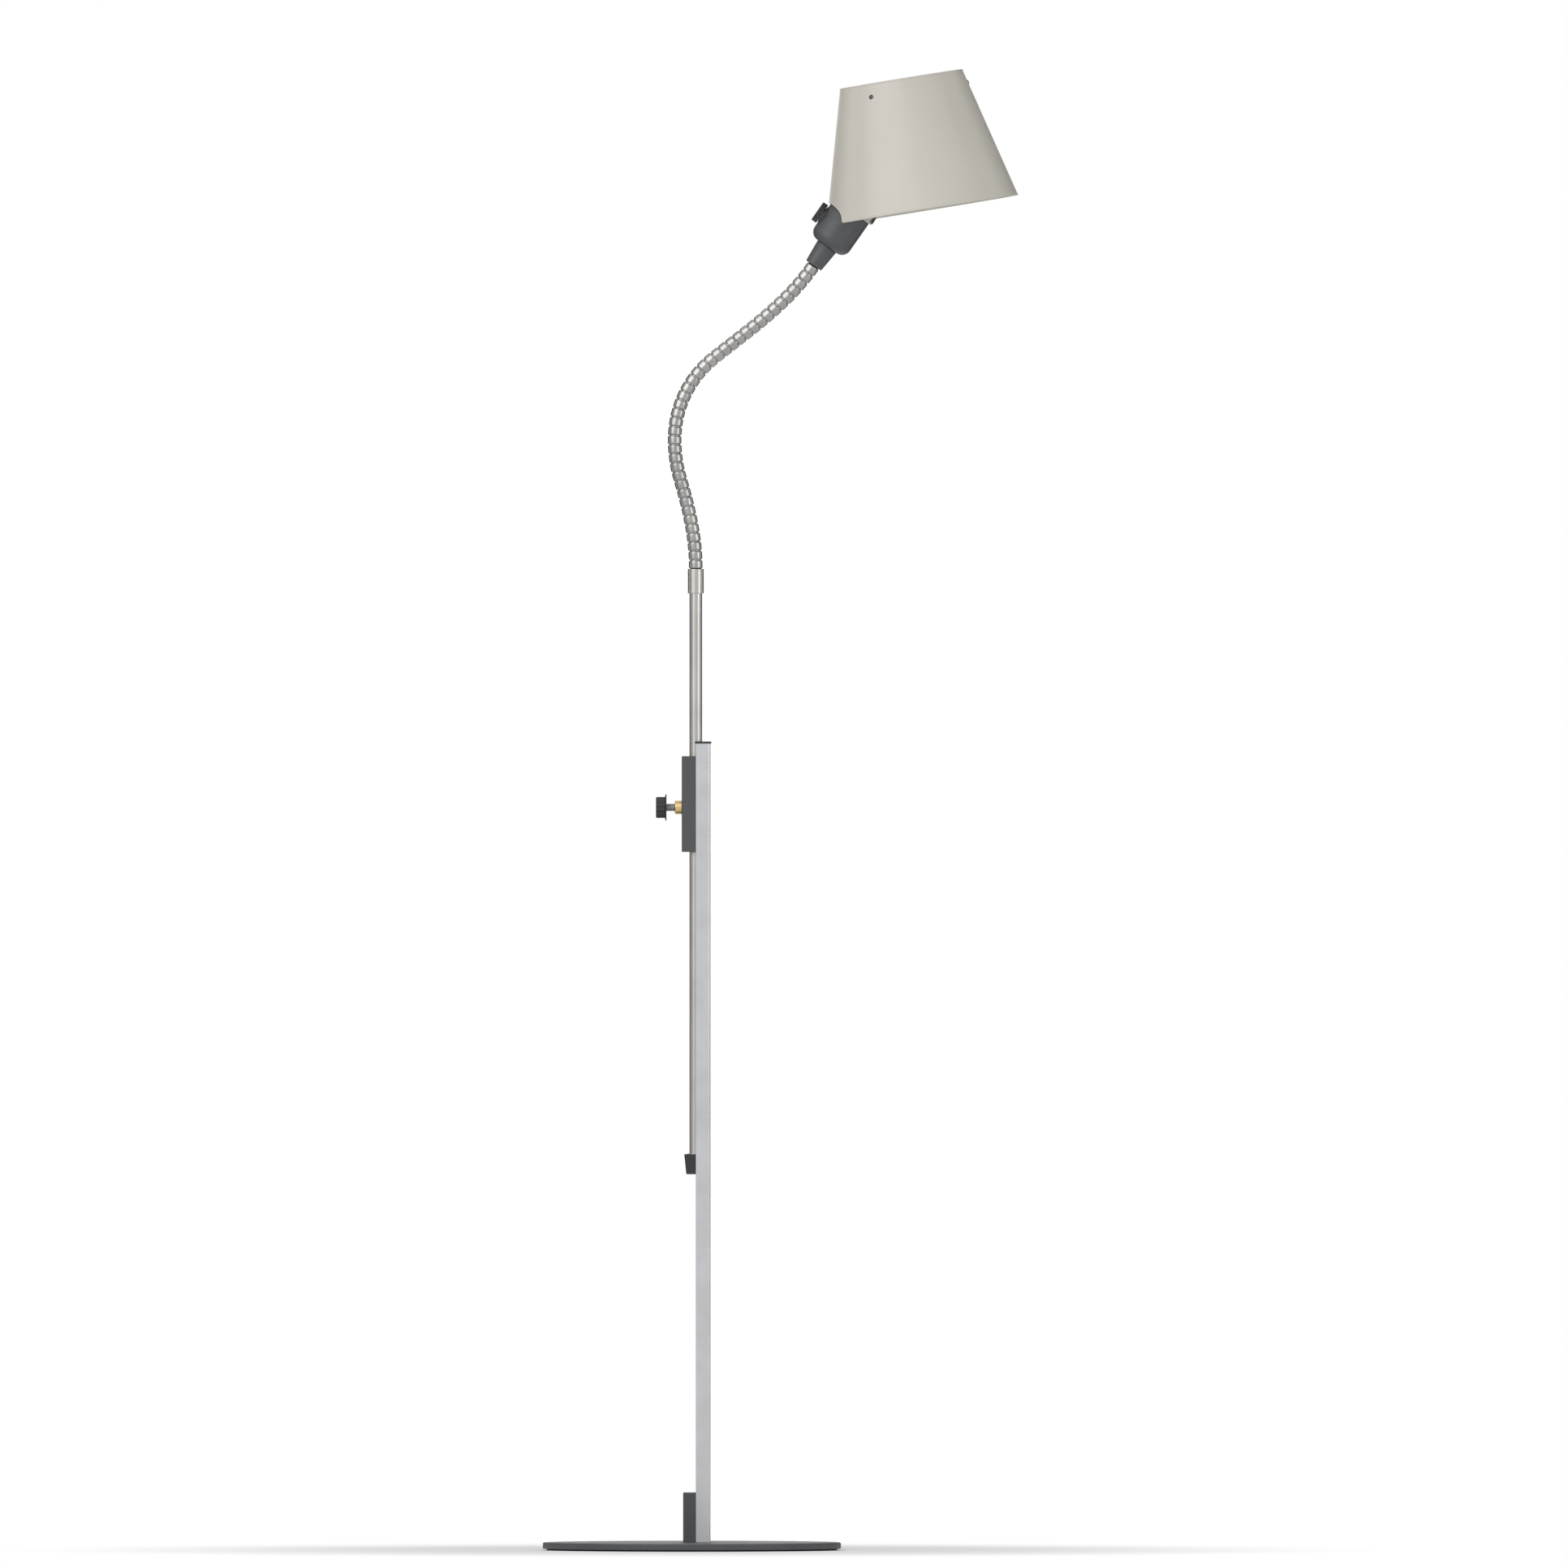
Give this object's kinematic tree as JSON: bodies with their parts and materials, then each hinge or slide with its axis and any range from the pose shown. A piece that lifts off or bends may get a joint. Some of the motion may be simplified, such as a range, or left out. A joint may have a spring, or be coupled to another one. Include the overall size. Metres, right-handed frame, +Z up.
{
  "type": "adjustable floor lamp",
  "caption": "Reading floor lamp: round base, upright channel, sliding mast with clamp screw, ribbed flexible neck and conical metal shade.",
  "frame": {"origin": "centre of the base's underside, on the floor", "axes": "+Z up; +X is the side that the neck and the shade reach out to; the clamp screw points along -X; the XZ plane is the lamp's plane of symmetry"},
  "size_m": [0.4859, 0.305, 1.5138],
  "materials": {
    "graphite_paint": "fine powder coat, satin",
    "rubber_pad": "matt ribbed rubber",
    "zinc_screws": "zinc plated",
    "anodised_channel": "satin anodised extrusion",
    "satin_nickel": "satin nickel plate",
    "neck_steel": "satin nickel plated wound steel",
    "black_plastic": "moulded, fine texture",
    "nylon": "natural nylon",
    "brass": "turned",
    "white_phenolic": "glazed white",
    "bulb_metal": "rolled thread",
    "bulb_glass": "frosted",
    "enamelled_shade": "enamelled spun aluminium, warm grey-white outside and white inside"
  },
  "bodies": {
    "stand": {"base_plate": "graphite_paint", "foot_pad": "rubber_pad", "foot_block": "graphite_paint", "base_screws": "zinc_screws", "upright_channel": "anodised_channel", "back_screws": "zinc_screws", "channel_cap": "black_plastic", "clamp_block": "graphite_paint", "upper_bush": "nylon", "lower_bush": "nylon", "screw_boss": "brass"},
    "clamp_pad": {"brake_pad": "nylon"},
    "clamp_screw": {"clamp_stud": "zinc_screws", "clamp_knob": "black_plastic"},
    "slider": {"guide_shoe": "black_plastic"},
    "mast": {"mast_rod": "satin_nickel", "rod_end_plug": "black_plastic", "rod_clip": "zinc_screws", "neck_ferrule": "satin_nickel", "neck_adaptor": "zinc_screws"},
    "neck_link_1": {"neck_1": "neck_steel"},
    "neck_link_2": {"neck_2": "neck_steel"},
    "neck_link_3": {"neck_3": "neck_steel"},
    "neck_link_4": {"neck_4": "neck_steel"},
    "neck_link_5": {"neck_5": "neck_steel"},
    "neck_link_6": {"neck_6": "neck_steel"},
    "neck_link_7": {"neck_7": "neck_steel"},
    "head": {"neck_8": "neck_steel", "neck_collar": "graphite_paint", "nipple": "brass", "nipple_nut": "brass", "holder_cup": "graphite_paint", "switch_body": "black_plastic", "switch_bezel": "satin_nickel", "lampholder": "white_phenolic", "screw_shell": "brass", "centre_contact": "brass", "cup_ring": "satin_nickel", "lock_ring": "black_plastic", "bulb_cap": "bulb_metal", "bulb_glass": "bulb_glass", "shade": "enamelled_shade", "shade_bracket": "satin_nickel", "shade_spider": "satin_nickel", "hub_screw": "zinc_screws", "hub_nut": "satin_nickel", "shade_rivets": "graphite_paint"},
    "switch_dial": {"switch_shaft": "zinc_screws", "switch_knob": "black_plastic"}
  },
  "joints": [
    {"name": "mast_slide", "type": "slide", "parent": "stand", "child": "slider", "axis": [0, 0, 1], "range_m": [-0.151, 0.308]},
    {"name": "mast_swivel", "type": "hinge", "parent": "slider", "child": "mast", "pos_m": [0.004, 0, 0.3884], "axis": [0, 0, 1], "range_deg": [-170, 170]},
    {"name": "neck_bend_1", "type": "hinge", "parent": "mast", "child": "neck_link_1", "pos_m": [0.0039, 0, 1.0086], "axis": [0, 1, 0], "range_deg": [-18, 18]},
    {"name": "neck_bend_2", "type": "hinge", "parent": "neck_link_1", "child": "neck_link_2", "pos_m": [-0.00147, 0, 1.05446], "axis": [0, 1, 0], "range_deg": [-18, 18]},
    {"name": "neck_bend_3", "type": "hinge", "parent": "neck_link_2", "child": "neck_link_3", "pos_m": [-0.01297, 0, 1.09925], "axis": [0, 1, 0], "range_deg": [-18, 18]},
    {"name": "neck_bend_4", "type": "hinge", "parent": "neck_link_3", "child": "neck_link_4", "pos_m": [-0.01721, 0, 1.14506], "axis": [0, 1, 0], "range_deg": [-18, 18]},
    {"name": "neck_bend_5", "type": "hinge", "parent": "neck_link_4", "child": "neck_link_5", "pos_m": [-0.00357, 0, 1.18884], "axis": [0, 1, 0], "range_deg": [-18, 18]},
    {"name": "neck_bend_6", "type": "hinge", "parent": "neck_link_5", "child": "neck_link_6", "pos_m": [0.02716, 0, 1.22293], "axis": [0, 1, 0], "range_deg": [-18, 18]},
    {"name": "neck_bend_7", "type": "hinge", "parent": "neck_link_6", "child": "neck_link_7", "pos_m": [0.06358, 0, 1.25145], "axis": [0, 1, 0], "range_deg": [-18, 18]},
    {"name": "neck_bend_8", "type": "hinge", "parent": "neck_link_7", "child": "head", "pos_m": [0.09807, 0, 1.28222], "axis": [0, 1, 0], "range_deg": [-18, 18]},
    {"name": "pad_slide", "type": "slide", "parent": "stand", "child": "clamp_pad", "axis": [-1, 0, 0], "range_m": [0, 0.0025]},
    {"name": "knob_turn", "type": "hinge", "parent": "clamp_pad", "child": "clamp_screw", "pos_m": [-0.03, 0, 0.7595], "axis": [-1, 0, 0], "range_deg": [0, 720]},
    {"name": "switch_turn", "type": "hinge", "parent": "head", "child": "switch_dial", "pos_m": [0.15204, 0, 1.35313], "axis": [-0.8192, 0, 0.5736], "continuous": true}
  ],
  "couplings": [
    {"joint": "knob_turn", "follows": "pad_slide", "rad_per_m": 5026.5}
  ]
}
